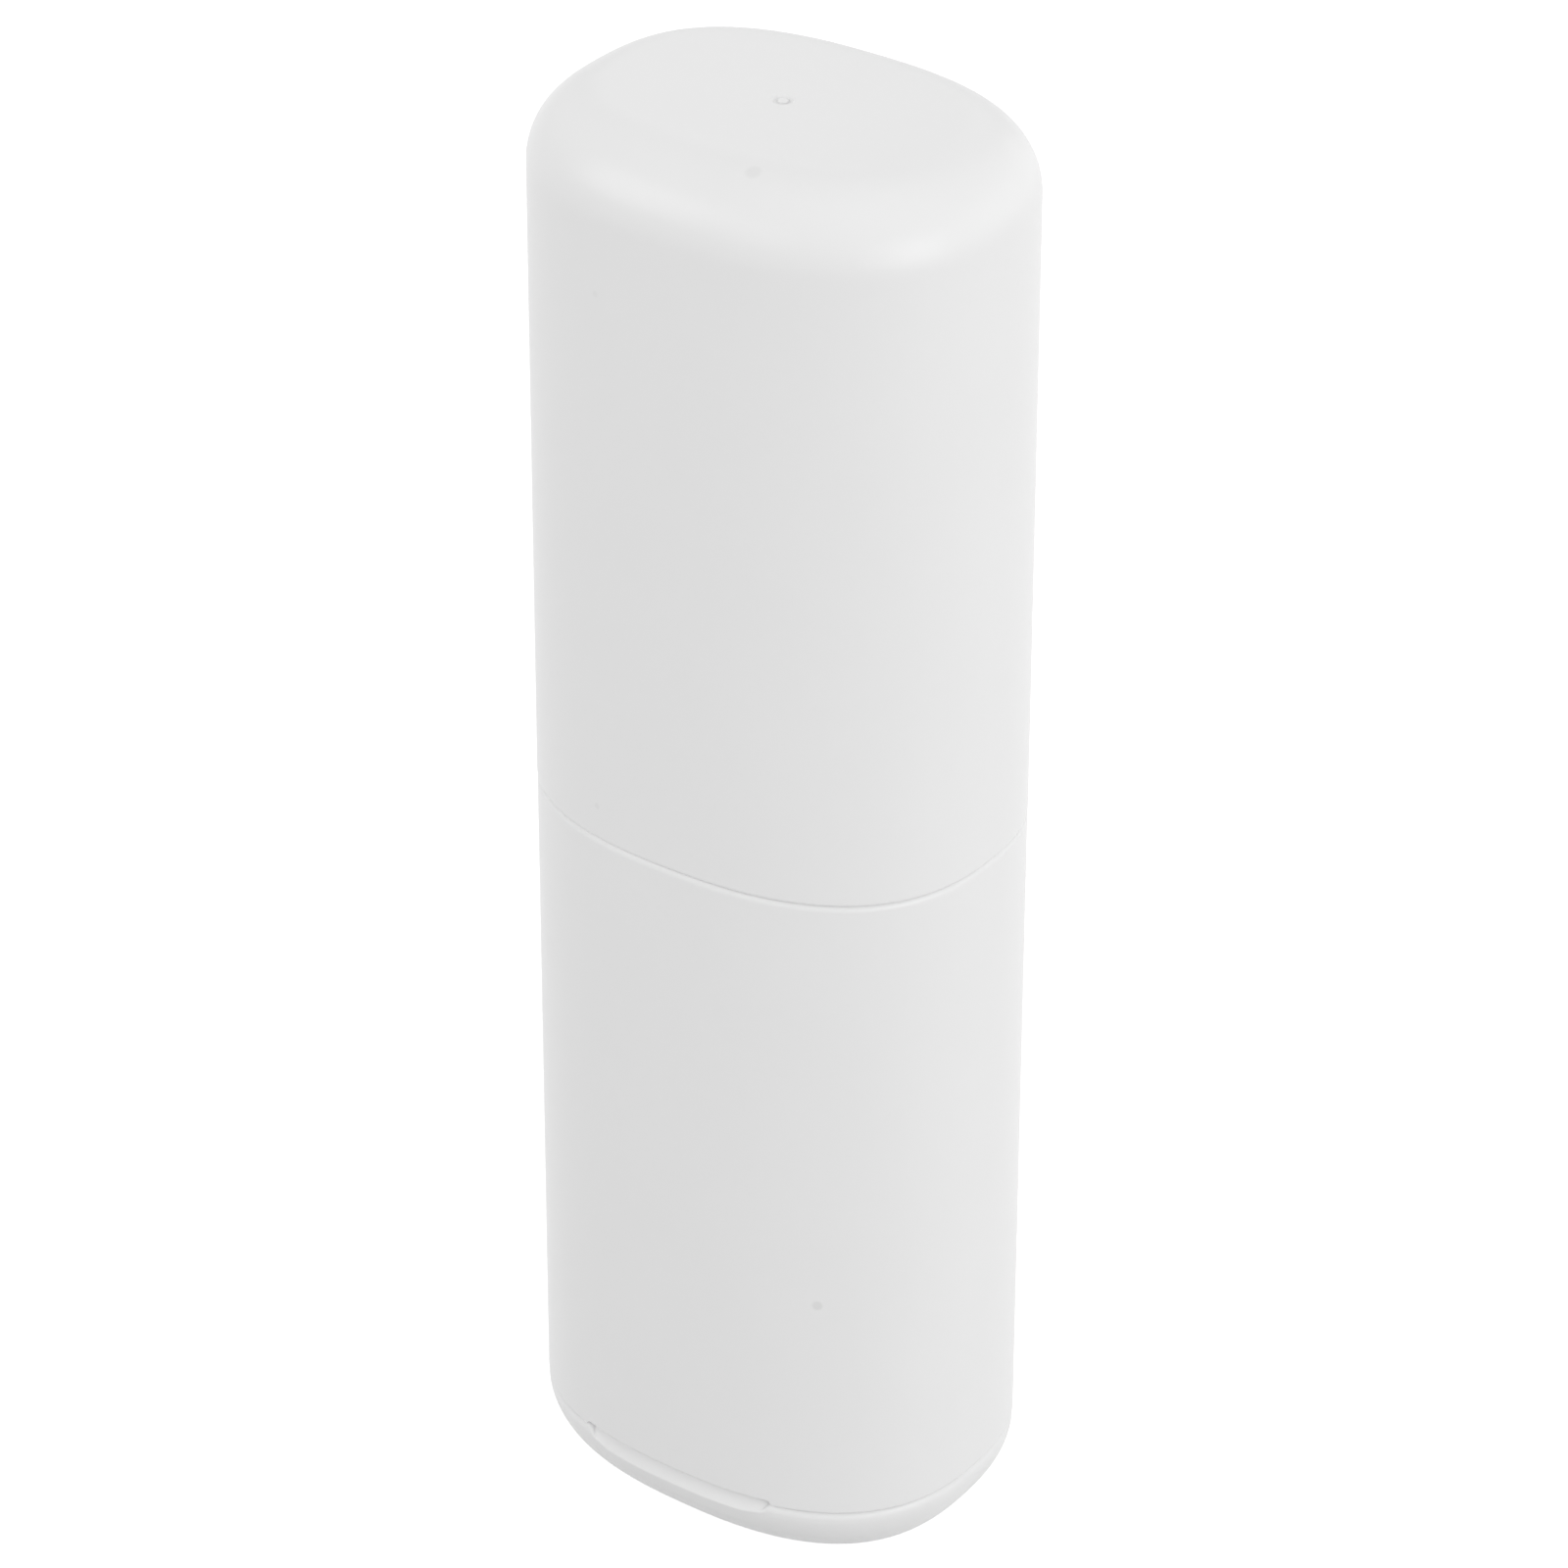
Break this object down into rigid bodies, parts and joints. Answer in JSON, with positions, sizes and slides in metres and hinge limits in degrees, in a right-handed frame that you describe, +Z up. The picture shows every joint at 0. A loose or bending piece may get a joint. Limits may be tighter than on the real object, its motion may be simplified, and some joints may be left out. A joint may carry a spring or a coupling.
{
  "type": "travel toothbrush case",
  "caption": "Upright oval case with a pull-off cap that doubles as a rinse cup, a lift-out rack for brushes and paste, and a pry-off base cover with seals.",
  "frame": {"origin": "on the ground under the middle of the case", "axes": "+Z up along the height, +X across the broad side, -Y out of the broad side that has the pry notch"},
  "size_m": [0.0658, 0.0514, 0.205],
  "materials": {
    "white_shell": "satin white moulded plastic with a very fine even texture",
    "rack_plastic": "matt white moulded plastic",
    "soft_seal": "matt translucent grey silicone"
  },
  "bodies": {
    "base": {"base_cover": "white_shell", "base_gasket": "soft_seal"},
    "body": {"lower_body": "white_shell", "neck_seal": "soft_seal"},
    "cap": {"upper_cap": "white_shell"},
    "rack": {"brush_rack": "rack_plastic"}
  },
  "joints": [
    {"name": "body_lift", "type": "slide", "parent": "base", "child": "body", "axis": [0, 0, 1], "range_m": [0, 0.025]},
    {"name": "cap_lift", "type": "slide", "parent": "body", "child": "cap", "axis": [0, 0, 1], "range_m": [0, 0.11]},
    {"name": "rack_lift", "type": "slide", "parent": "body", "child": "rack", "axis": [0, 0, 1], "range_m": [0, 0.045]}
  ]
}
